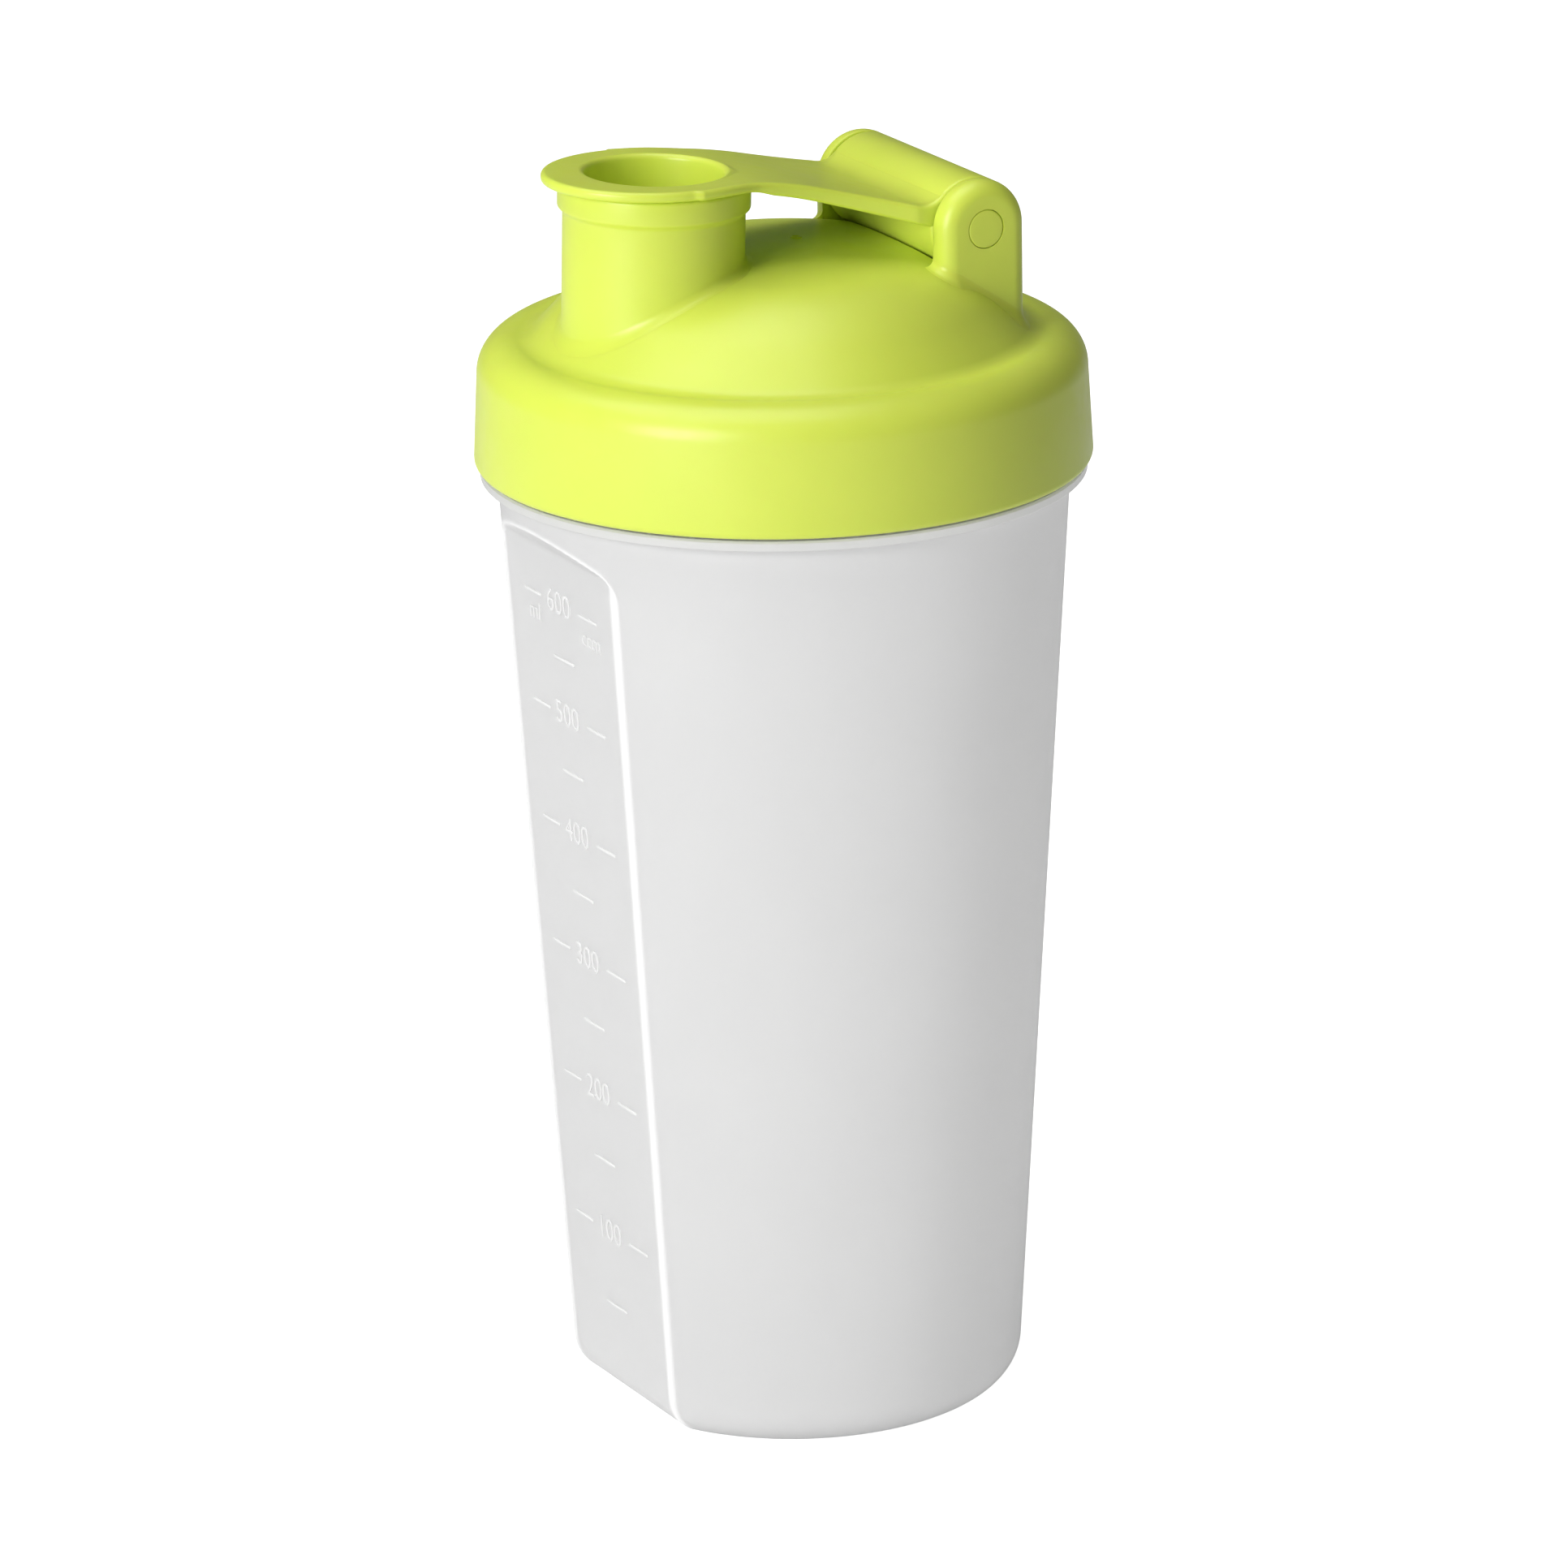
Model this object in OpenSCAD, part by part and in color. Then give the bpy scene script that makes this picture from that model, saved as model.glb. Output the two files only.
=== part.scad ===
// Protein shaker: a tapered cup with a flat scale panel, a screw lid with a
// drinking spout, a hinged flip cap that plugs the spout, a gasket and a strainer.
// The origin is the centre of the base, +Z is up, the spout and the scale face -Y
// and the hinge is at +Y.

/* [Cup] */
// Radius where the line of the wall would meet the ground
base_r = 35.45; // [34:0.05:36.5]
// Outward lean of the wall, mm of radius per mm of height
wall_slope = 0.0618; // [0.055:0.0001:0.066]
// Wall thickness
wall_t = 1.6; // [1.2:0.1:2]
// Radius of the rounded foot
foot_round = 7.3; // [6:0.1:8.5]
// Height of the inner floor
floor_z = 2.8; // [2.4:0.1:4]
// Depth of the hollow under the base
base_hollow = 1.0; // [0.5:0.1:1.2]
// Radius of the collar under the lid
collar_r = 47.4; // [46.6:0.1:47.8]
// Height of the collar's lower edge
collar_z = 151.0; // [150.6:0.1:151.2]
// Thickness of the collar
collar_t = 1.6; // [1.2:0.1:1.7]
// Outer radius of the threaded neck
neck_r = 44.3; // [44.2:0.05:44.35]
// Height of the rim
rim_z = 169.3; // [168.8:0.1:169.3]

/* [Scale panel] */
// Depth of the flat at the middle of the panel
panel_depth = 4.19; // [3.6:0.01:4.6]
// Height of the flat's upper edge
panel_top = 142.9; // [138:0.1:144]
// Half the straight part of the flat's upper edge
panel_straight = 15.9; // [14:0.1:16.5]
// Corner radius at the top of the flat
panel_corner = 4.0; // [3:0.1:5]
// Height of the raised marks
mark_h = 0.3; // [0.2:0.05:0.5]
// Width of the line of a mark
mark_w = 0.7; // [0.5:0.05:0.9]

/* [Screw lid] */
// Radius of the skirt near its lower edge
skirt_r = 48.3; // [48:0.05:48.8]
// Radius of the skirt under the shoulder
skirt_top_r = 47.6; // [47.4:0.05:48]
// Height of the skirt's lower edge
skirt_z = 153.0; // [152.9:0.05:153.3]
// Radius of the rounded shoulder
shoulder_r = 5.7; // [5.5:0.1:5.9]
// Height where the shoulder begins
shoulder_z = 167.4; // [167.2:0.1:167.6]
// Height of the dome's middle
dome_z = 187.1; // [186.8:0.05:187.4]
// Radius of the dome's flat crown
crown_r = 150; // [140:1:160]
// Radius of the dome's curved flank
flank_r = 22; // [21.5:0.1:22.5]
// Thickness of the dome
dome_t = 1.8; // [1.5:0.1:2]

/* [Spout] */
// Distance of the spout's axis from the middle of the lid
spout_y = 21.84; // [21.5:0.05:22.1]
// Lean of the spout towards the hinge, degrees
spout_lean = 2; // [1.5:0.1:2.2]
// Outer radius of the spout
spout_r = 14.12; // [14:0.02:14.3]
// Radius of the drinking opening
spout_bore_r = 12.3; // [12.3:0.02:12.5]
// Radius of the lip ring
lip_r = 14.93; // [14.7:0.02:15.1]
// Height of the lip ring
lip_h = 3.83; // [3.6:0.01:3.85]

/* [Hinge] */
// Distance of the hinge axis from the middle of the lid
hinge_y = 24.5; // [24.3:0.05:24.6]
// Height of the hinge axis
hinge_z = 190.7; // [190.6:0.05:190.8]
// Outer radius of the barrel and of the cheeks
barrel_r = 7.4; // [7.3:0.05:7.5]
// Half the length of the barrel
barrel_half = 17.5; // [17.2:0.05:17.6]
// Clearance between the barrel and the two cheeks, and under the barrel
hinge_gap = 0.4; // [0.35:0.05:0.45]
// Thickness of a cheek
cheek_t = 3.7; // [3.4:0.1:3.8]
// Radius of the pin
pin_r = 3.05; // [2.9:0.05:3.1]
// Running clearance of the barrel on the pin
pin_gap = 0.08; // [0.05:0.01:0.1]

/* [Flip cap] */
// Thickness of the disc and of the thin end of the arm
cap_t = 1.6; // [1.5:0.05:1.7]
// Thickness of the arm at the barrel
arm_t = 3.0; // [2.8:0.1:3.1]
// Radius of the finger recess
recess_r = 10.8; // [10.5:0.05:10.9]
// Depth of the finger recess
recess_depth = 7.5; // [6:0.1:7.6]
// Thickness of the plug's floor
plug_floor = 1.3; // [1.1:0.1:1.5]

/* [Thread and inserts] */
// Rise of the thread in one turn
thread_lead = 6; // [5.9:0.1:6.1]
// Turns of thread
thread_turns = 1.4; // [1.2:0.1:1.5]
// Azimuth where both ridges of the thread begin
thread_start = 11; // [10:0.5:14]
// Radius of the lid's skirt inside
skirt_inner_r = 46.3; // [46.2:0.05:46.4]
// Spacing of the strainer's holes
mesh_pitch = 5.5; // [5.3:0.1:5.8]
// Width of a strainer hole
mesh_hole = 4.2; // [3.8:0.1:4.2]

/* [Hidden] */
$fn = 96;
far = 100;
arc_steps = 8;

frosted = "gainsboro";
lime = [0.85, 0.88, 0.42];

// Lean of the wall and where its line meets the ground on the flat
wall_lean = atan(wall_slope);
panel_y = base_r - panel_depth;
// Inner radius of the cup at the ground
inner_r = base_r - wall_t / cos(wall_lean);
neck_inner_r = neck_r - 1.6;
neck_step_z = collar_z - 1;
neck_bottom_z = collar_z + collar_t;
rim_chamfer = 0.4;
// The foot ring carries the cup outside this radius
hollow_r = 22;

skirt_round = 1.1;
shoulder_x = skirt_top_r - shoulder_r;
shoulder_sweep = 113;
// Slope of the dome where the crown ends and where the flank ends
crown_end = 8;
flank_end = 47;
gasket_seat_z = 171.2;

// The spout's own frame starts at the lower end of its lip ring
spout_z = 196.07;
// The hinge cheeks
cheek_in = barrel_half + hinge_gap;
cheek_out = cheek_in + cheek_t;
cheek_round = 2.6;
pocket_r = barrel_r + hinge_gap;
web_top = hinge_z - 5.1;
// The arm's upper face is straight over the disc, then bends down to the barrel
bend_y = -18;
bend_r = 80;
arm_slope = 15;
seat_gap = 0.1;
// Height of the disc's upper face where the bend begins
bend_z = spout_z + (lip_h + seat_gap + cap_t) / cos(spout_lean) - (bend_y + spout_y) * tan(spout_lean);

// Points of an arc about (x, y), from angle a0 to angle a1
function arc(x, y, r, a0, a1, n = arc_steps) =
    [for (i = [0:n]) let (a = a0 + (a1 - a0) * i / n) [x + r * cos(a), y + r * sin(a)]];

// Radius of the wall at a height, for a wall whose line starts at radius r
function wall_at(r, z) = r + wall_slope * z;

// Centre of a foot rounding of radius f that stands on the level z
function foot_x(r, f, z) = wall_at(r, z + f) - f / cos(wall_lean);

// Foot rounding from the floor up to the leaning wall
function foot_arc(r, f, z) = arc(foot_x(r, f, z), z + f, f, -90, -wall_lean);

// ---------------------------------------------------------------- cup

// Height of the liquid for a volume in ml: the wall is a cone, so the volume
// goes with the cube of the radius. The panel's flat is small beside it.
mark_base_ml = 50;
mark_base_z = 17.1;
function cone_volume(z) = pow(wall_at(inner_r, z), 3) / (3 * wall_slope);
function mark_z(ml) =
    (pow(3 * wall_slope * (cone_volume(mark_base_z) + (ml - mark_base_ml) * 1000 / PI), 1 / 3)
    - inner_r) / wall_slope;

// What the flat panel takes off a wall whose flat starts at radius r and has a
// foot rounding of radius f on the level z
module panel_cut(r, f, z) {
    difference() {
        rotate([90, 0, -90])
            translate([0, 0, -far / 2])
            linear_extrude(far)
            polygon(concat(
                [[foot_x(r, f, z), z - far]],
                foot_arc(r, f, z),
                [[wall_at(r, 2 * far), 2 * far], [2 * far, 2 * far], [2 * far, z - far]]));
        translate([0, -r, 0]) rotate([wall_lean, 0, 0]) panel_lintel();
    }
}

// The wall that stays over the flat: its edge is a ledge at 45 degrees with
// rounded corners. The flat is the plane y = 0 here.
module panel_lintel() {
    rise = panel_top - panel_corner;
    reach = 12;
    difference() {
        translate([-far, -far, rise]) cube([2 * far, far + 1, 2 * far]);
        for (side = [-1, 1]) {
            translate([side * panel_straight, 1, rise])
                rotate([90, 0, 0])
                cylinder(h = reach + 1, r1 = panel_corner - 1, r2 = panel_corner + reach);
        }
        rotate([90, 0, -90])
            translate([0, 0, -panel_straight])
            linear_extrude(2 * panel_straight)
            polygon([[-2, rise - 1], [-2, panel_top - 2], [reach, panel_top + reach], [reach, rise - 1]]);
    }
}

// One raised line on the panel from x0 to x1 at height z
module mark(x0, x1, z) {
    root = 0.5;
    translate([x0, -wall_at(panel_y, z), z])
        rotate([wall_lean, 0, 0])
        translate([0, -mark_h, -mark_w / 2])
        cube([x1 - x0, mark_h + root, mark_w]);
}

module scale_marks() {
    for (ml = [100:100:600]) {
        mark(-12.2, -6.5, mark_z(ml));
        mark(6.3, 12.5, mark_z(ml));
    }
    for (ml = [50:100:550]) {
        mark(-3.5, 3.3, mark_z(ml));
    }
}

// A ridge that winds up a cylinder. root and tip are radii, base and crest the
// widths there, and the ridge fades in and out over the first and last steps.
module thread_ridge(root, tip, z, base = 2.6, crest = 1.2) {
    steps = 48;
    fade_steps = 6;
    n = round(thread_turns * steps);
    sink = root < tip ? -0.6 : 0.6;
    function fade(i) = min(1, (i + 1) / fade_steps, (n - i + 1) / fade_steps);
    function ring(i) =
        let (a = thread_start + 360 * i / steps, h = z + thread_lead * i / steps, top = root + (tip - root) * fade(i))
        [for (p = [[root + sink, -base / 2], [top, -crest / 2], [top, crest / 2], [root + sink, base / 2]])
            [p[0] * cos(a), p[0] * sin(a), h + p[1]]];
    flip = root < tip;
    sides = [for (i = [0:n - 1], k = [0:3])
        let (a = 4 * i + k, b = 4 * i + (k + 1) % 4) [a, b, b + 4, a + 4]];
    faces = concat([[3, 2, 1, 0]], sides, [[4 * n, 4 * n + 1, 4 * n + 2, 4 * n + 3]]);
    polyhedron(
        [for (i = [0:n]) each ring(i)],
        [for (f = faces) flip ? f : [for (k = [len(f) - 1:-1:0]) f[k]]]);
}

module cup_outside() {
    rotate_extrude()
        polygon(concat(
            [[0, 0]],
            foot_arc(base_r, foot_round, 0),
            [[wall_at(base_r, collar_z), collar_z], [collar_r, collar_z],
             [collar_r, neck_bottom_z], [neck_r, neck_bottom_z],
             [neck_r, rim_z - rim_chamfer], [neck_r - rim_chamfer, rim_z], [0, rim_z]]));
}

module cup_cavity() {
    inner_round = foot_round - wall_t;
    difference() {
        rotate_extrude()
            polygon(concat(
                [[0, floor_z]],
                foot_arc(inner_r, inner_round, floor_z),
                [[wall_at(inner_r, neck_step_z), neck_step_z], [neck_inner_r, neck_step_z + 3],
                 [neck_inner_r, rim_z - rim_chamfer], [neck_inner_r + rim_chamfer, rim_z],
                 [neck_inner_r + rim_chamfer, rim_z + 1], [0, rim_z + 1]]));
        panel_cut(panel_y - wall_t / cos(wall_lean), inner_round, floor_z);
    }
}

module cup() {
    color(frosted) {
        difference() {
            cup_outside();
            panel_cut(panel_y, foot_round, 0);
            cup_cavity();
            translate([0, 0, -base_hollow]) cylinder(h = 2 * base_hollow, r = hollow_r);
        }
        scale_marks();
        thread_ridge(neck_r, 45.5, 157.5);
    }
}

// ---------------------------------------------------------------- screw lid

// The dome's two arcs, from the flank's foot up to the middle, on a surface
// that lies t under the outer one
function dome_arc(t) =
    let (crown_z = dome_z - crown_r,
         x = (crown_r - flank_r) * sin(crown_end),
         z = crown_z + (crown_r - flank_r) * cos(crown_end))
    concat(
        arc(x, z, flank_r - t, 90 - flank_end, 90 - crown_end),
        arc(0, crown_z, crown_r - t, 90 - crown_end, 90));

module lid_outside() {
    rotate_extrude()
        polygon(concat(
            [[0, skirt_z]],
            arc(skirt_r - skirt_round, skirt_z + skirt_round, skirt_round, -90, 0),
            arc(shoulder_x, shoulder_z, shoulder_r, 0, shoulder_sweep, 2 * arc_steps),
            dome_arc(0)));
}

module lid_cavity() {
    groove_r = 44.75;
    ceiling_r = 38.4;
    rotate_extrude()
        polygon(concat(
            [[0, skirt_z - 1], [skirt_inner_r, skirt_z - 1], [skirt_inner_r, 168.4],
             [groove_r, 169.6], [groove_r, gasket_seat_z], [ceiling_r, gasket_seat_z]],
            dome_arc(dome_t)));
}

// Places its children in the spout's own frame
module at_spout() {
    translate([0, -spout_y, spout_z]) rotate([-spout_lean, 0, 0]) children();
}

module spout_outside() {
    lip_bevel = 0.8;
    at_spout() {
        translate([0, 0, -20]) cylinder(h = 20 + lip_h, r = spout_r);
        cylinder(h = lip_h, r = lip_r);
        translate([0, 0, -lip_bevel]) cylinder(h = lip_bevel, r1 = spout_r, r2 = lip_r);
    }
}

// A round bar along X whose rims are rounded
module rounded_bar(r, half, round_r) {
    rotate([0, 90, 0])
        rotate_extrude()
        polygon(concat(
            [[0, -half]],
            arc(r - round_r, -half + round_r, round_r, -90, 0),
            arc(r - round_r, half - round_r, round_r, 0, 90),
            [[0, half]]));
}

// A flat block standing on the dome with its upright edges rounded
module upright(half_x, half_y, z0, z1, round_r) {
    x = half_x - round_r;
    y = half_y - round_r;
    translate([0, 0, z0])
        linear_extrude(z1 - z0)
        polygon(concat(
            arc(x, y, round_r, 0, 90), arc(-x, y, round_r, 90, 180),
            arc(-x, -y, round_r, 180, 270), arc(x, -y, round_r, 270, 360)));
}

// Two cheeks with round heads, joined low down at the back by a web
module hinge_tower() {
    foot_z = 172;
    difference() {
        union() {
            translate([0, hinge_y, hinge_z]) rounded_bar(barrel_r, cheek_out, cheek_round);
            translate([0, hinge_y, 0]) upright(cheek_out, barrel_r, foot_z, hinge_z, cheek_round);
        }
        translate([-cheek_in, hinge_y - far / 2, web_top]) cube([2 * cheek_in, far, far]);
        translate([-cheek_in, hinge_y - far, foot_z - 1]) cube([2 * cheek_in, far, far]);
    }
}

module along_hinge(r, half) {
    translate([-half, hinge_y, hinge_z]) rotate([0, 90, 0]) cylinder(h = 2 * half, r = r);
}

// Ring under the lid that carries the strainer and backs the gasket
module strainer_ring() {
    translate([0, 0, 164.5])
        difference() {
            cylinder(h = gasket_seat_z + 0.2 - 164.5, r = 41.8);
            translate([0, 0, -1]) cylinder(h = 20, r = 40.4);
        }
}

module screw_lid() {
    pocket_wall = 1.6;
    color(lime)
        difference() {
            union() {
                difference() {
                    union() {
                        lid_outside();
                        spout_outside();
                        hinge_tower();
                    }
                    lid_cavity();
                }
                intersection() {
                    along_hinge(pocket_r + pocket_wall, cheek_in + pocket_wall);
                    lid_outside();
                }
                strainer_ring();
                thread_ridge(skirt_inner_r, 45, 155.66);
            }
            at_spout() translate([0, 0, -40]) cylinder(h = 80, r = spout_bore_r);
            along_hinge(pocket_r, cheek_in);
            along_hinge(pin_r, cheek_out + 1);
        }
}

// ---------------------------------------------------------------- flip cap

// The bend of the arm on a line that lies t under the upper one, in the YZ plane
function arm_bend(t) =
    arc(bend_y - bend_r * sin(spout_lean), bend_z - bend_r * cos(spout_lean), bend_r - t,
        90 - spout_lean, 90 - arm_slope);

// Side shape of the disc and the arm: the upper line, then back along the lower
// one, which falls away from it towards the barrel
module arm_side() {
    nose_y = -42;
    nose_z = bend_z + (bend_y - nose_y) * tan(spout_lean);
    tail_y = 20;
    upper = arm_bend(0);
    lower = arm_bend(cap_t);
    tail_z = upper[arc_steps][1] - (tail_y - upper[arc_steps][0]) * tan(arm_slope);
    polygon(concat(
        [[nose_y, nose_z]], upper, [[tail_y, tail_z], [tail_y, tail_z - arm_t]],
        [for (i = [arc_steps - 3:-1:0]) lower[i]], [[nose_y, nose_z - cap_t]]));
}

// Outline of the disc and the arm from above: a blunt oval nose, a waist and a
// flare out to the barrel
module arm_plan() {
    nose_y = -22.4;
    nose_long = 17.1;
    nose_half = 15.7;
    waist_y = -7;
    waist_half = 13.4;
    waist_r = 60;
    tail_y = 19;
    scoop = asin((tail_y - waist_y) / waist_r);
    entry = asin((waist_y - nose_y) / waist_r);
    cx = waist_half + waist_r;
    nose = [for (i = [0:24]) let (a = 180 + 180 * i / 24) [nose_half * cos(a), nose_y + nose_long * sin(a)]];
    polygon(concat(
        nose,
        arc(cx, waist_y, waist_r, 180 + entry, 180 - scoop),
        arc(-cx, waist_y, waist_r, scoop, -entry)));
}

module flip_cap() {
    color(lime)
        difference() {
            union() {
                intersection() {
                    rotate([90, 0, 90])
                        translate([0, 0, -barrel_half])
                        linear_extrude(2 * barrel_half)
                        arm_side();
                    translate([0, 0, 150]) linear_extrude(far) arm_plan();
                }
                translate([0, hinge_y, hinge_z]) rounded_bar(barrel_r, barrel_half, 1);
                plug();
            }
            at_spout() translate([0, 0, lip_h + cap_t - recess_depth]) cylinder(h = far, r = recess_r);
            lip_clearance();
            along_hinge(pin_r + pin_gap, barrel_half + 1);
        }
}

// Keeps the arm clear of the lip ring, on which the disc rests
module lip_clearance() {
    side_gap = 0.4;
    at_spout()
        translate([0, 0, -10])
        difference() {
            cylinder(h = 10 + lip_h + seat_gap, r = lip_r + side_gap);
            translate([0, 0, -1]) cylinder(h = 20, r = spout_bore_r);
        }
}

// The plug narrows downwards so that it can swing out of the spout
module plug() {
    top_r = spout_bore_r - 0.15;
    foot_r = 11.15;
    shift = seat_gap + cap_t / 2;
    depth = recess_depth + plug_floor - cap_t;
    lead_in = 0.6;
    at_spout()
        translate([0, 0, lip_h + seat_gap - depth])
        rotate_extrude()
        polygon([[0, 0], [foot_r - lead_in, 0], [foot_r, lead_in],
                 [plug_r(depth / 2), depth / 2], [plug_r(1.2), depth - 1.2],
                 [top_r, depth], [top_r, depth + shift], [0, depth + shift]]);
}

// Largest radius of the plug at a depth below the mouth
function plug_r(d) = 12.15 - 0.2 * d + 0.006 * d * d;

// ---------------------------------------------------------------- small parts

module hinge_pin() {
    color(lime) along_hinge(pin_r, cheek_out);
}

module lid_gasket() {
    color("whitesmoke")
        translate([0, 0, 169.35])
        difference() {
            cylinder(h = 1.8, r = 44.65);
            translate([0, 0, -1]) cylinder(h = 4, r = 41.9);
        }
}

module strainer() {
    strainer_z = 160;
    plate_t = 1.4;
    rim_r = 40.3;
    rim_t = 1.1;
    rim_h = 8.5;
    holes_r = 34.5;
    holes = floor(holes_r / mesh_pitch);
    color("whitesmoke")
        translate([0, 0, strainer_z])
        difference() {
            union() {
                cylinder(h = rim_h, r = rim_r);
                translate([0, 0, 3.2]) cylinder(h = 1, r = 41.6);
            }
            translate([0, 0, plate_t]) cylinder(h = rim_h, r = rim_r - rim_t);
            for (i = [-holes:holes], k = [-holes:holes]) {
                if (norm([i, k]) * mesh_pitch < holes_r) {
                    translate([i * mesh_pitch, k * mesh_pitch, plate_t / 2])
                        cube([mesh_hole, mesh_hole, 2 * plate_t], center = true);
                }
            }
        }
}

cup();
screw_lid();
flip_cap();
hinge_pin();
lid_gasket();
strainer();
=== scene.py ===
# %% [markdown]
# # A protein shaker
# The model comes in as a fixed frame: cup, screw lid, flip cap, hinge pin, gasket and
# strainer, each riding on its own moving body. This lesson gives the visible pieces
# their final shape, with the soft edges that moulded plastic has, and their finish.
# Everything is in metres, +Z up, the spout towards -Y and the hinge towards +Y.

# %% Load the frame
import math

import bmesh
import bpy
from mathutils import Matrix, Vector


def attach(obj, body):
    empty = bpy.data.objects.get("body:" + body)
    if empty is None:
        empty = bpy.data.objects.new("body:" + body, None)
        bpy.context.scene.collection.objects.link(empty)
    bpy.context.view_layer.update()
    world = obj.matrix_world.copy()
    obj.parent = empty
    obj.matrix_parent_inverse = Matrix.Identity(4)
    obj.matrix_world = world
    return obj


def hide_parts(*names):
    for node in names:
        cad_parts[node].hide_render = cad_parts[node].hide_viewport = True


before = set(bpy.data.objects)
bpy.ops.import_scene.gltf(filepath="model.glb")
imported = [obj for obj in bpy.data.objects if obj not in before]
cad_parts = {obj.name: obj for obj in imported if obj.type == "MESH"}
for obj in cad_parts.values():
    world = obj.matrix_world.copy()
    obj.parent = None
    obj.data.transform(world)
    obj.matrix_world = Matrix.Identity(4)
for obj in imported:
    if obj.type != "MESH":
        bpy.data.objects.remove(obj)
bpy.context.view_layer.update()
MM = 0.001
print("nodes:", sorted(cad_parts))

# %% [markdown]
# ## Sizes
# A few dimensions drive the cup, and the hinge and the spout are placed from them. The
# wall leans outwards by a constant slope, so a straight line gives its radius.

# %% Sizes in millimetres
WALL_START = 35.45
WALL_SLOPE = 0.0618
WALL = 1.6
FOOT = 7.3
FLOOR = 2.8
PANEL_START = WALL_START - 4.19
PANEL_TOP = 142.9
PANEL_HALF = 15.9
PANEL_CORNER = 4.0
COLLAR_R = 47.4
COLLAR_Z = 151.0
NECK_R = 44.3
RIM_Z = 169.3

HINGE = Vector((0, 24.5, 190.7))
BARREL_R = 7.4
BARREL_HALF = 17.5
CHEEK_IN = 17.9
CHEEK_OUT = 21.6
PIN_R = 3.05
SPOUT = Vector((0, -21.84, 196.07))
SPOUT_LEAN = math.radians(2)
SPOUT_R = 14.12
BORE_R = 12.3
LIP_R = 14.93
LIP_H = 3.83


# %% [markdown]
# ## Helpers for every piece
# A piece is built as a bmesh in millimetres, which are easy to read, and scaled to
# metres when it becomes an object. Shading is smooth, except over real corners.

# %% Turn a bmesh into a finished piece
def arc(x, y, r, start, end, steps=8):
    """Points of an arc in degrees, from start to end."""
    turns = [math.radians(start + (end - start) * i / steps) for i in range(steps + 1)]
    return [(x + r * math.cos(t), y + r * math.sin(t)) for t in turns]


def turn_shells_outwards(bm):
    """Reverses every closed shell whose faces look inwards, found by its signed volume."""
    left = set(bm.faces)
    while left:
        shell, front = [], [left.pop()]
        while front:
            face = front.pop()
            shell.append(face)
            near = {f for e in face.edges for f in e.link_faces} & left
            left -= near
            front += near
        if sum(f.calc_area() * f.normal.dot(f.calc_center_median()) for f in shell) < 0:
            bmesh.ops.reverse_faces(bm, faces=shell)


def clean_mesh(bm, name, corner):
    """Cleans a bmesh in millimetres and makes it a mesh in metres."""
    bmesh.ops.remove_doubles(bm, verts=bm.verts, dist=0.002)
    bmesh.ops.dissolve_degenerate(bm, edges=bm.edges, dist=0.001)
    bmesh.ops.recalc_face_normals(bm, faces=bm.faces)
    turn_shells_outwards(bm)
    bmesh.ops.scale(bm, vec=(MM, MM, MM), verts=bm.verts)
    mesh = bpy.data.meshes.new(name)
    bm.to_mesh(mesh)
    bm.free()
    mesh.shade_smooth()
    mesh.set_sharp_from_angle(angle=math.radians(corner))
    return mesh


def finish_piece(bm, name, body, material, replaces=None, corner=40):
    """Makes a bmesh in millimetres an object that rides on a body."""
    mesh = clean_mesh(bm, name, corner)
    mesh.materials.append(material)
    piece = bpy.data.objects.new(name, mesh)
    bpy.context.scene.collection.objects.link(piece)
    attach(piece, body)
    if replaces:
        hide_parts(replaces)
    print(f"{name}: {len(mesh.polygons)} faces")
    return piece


def spin_profile(bm, points, steps=192, closed=True):
    """Turns an outline of (radius, height) points once round the Z axis."""
    verts = [bm.verts.new((x, 0, z)) for x, z in points]
    pairs = list(zip(verts, verts[1:]))
    if closed:
        pairs.append((verts[-1], verts[0]))
    edges = [bm.edges.new(pair) for pair in pairs]
    bmesh.ops.spin(bm, geom=verts + edges, cent=(0, 0, 0), axis=(0, 0, 1),
                   angle=math.tau, steps=steps, use_merge=True, use_duplicate=False)


# %% [markdown]
# ## Plastics
# The lid is moulded in lime polypropylene and the cup in the natural resin, which is
# milky: light goes a little way in and comes out again. Both are satin. Their surface is
# never perfect, so the roughness wanders and a very fine grain bends the light.

# %% Node helpers
def new_material(name):
    material = bpy.data.materials.new(name)
    material.use_nodes = True
    nodes = material.node_tree.nodes
    shader = nodes["Principled BSDF"]
    return material, nodes, material.node_tree.links, shader


def noise_node(nodes, links, coords, scale, detail=3.0, rough=0.5):
    texture = nodes.new("ShaderNodeTexNoise")
    texture.inputs["Scale"].default_value = scale
    texture.inputs["Detail"].default_value = detail
    texture.inputs["Roughness"].default_value = rough
    links.new(coords, texture.inputs["Vector"])
    return texture.outputs["Fac"]


def ramp_node(nodes, links, value, low, high, position=(0.3, 0.7)):
    ramp = nodes.new("ShaderNodeMapRange")
    ramp.inputs["From Min"].default_value = position[0]
    ramp.inputs["From Max"].default_value = position[1]
    ramp.inputs["To Min"].default_value = low
    ramp.inputs["To Max"].default_value = high
    links.new(value, ramp.inputs["Value"])
    return ramp.outputs["Result"]


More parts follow.
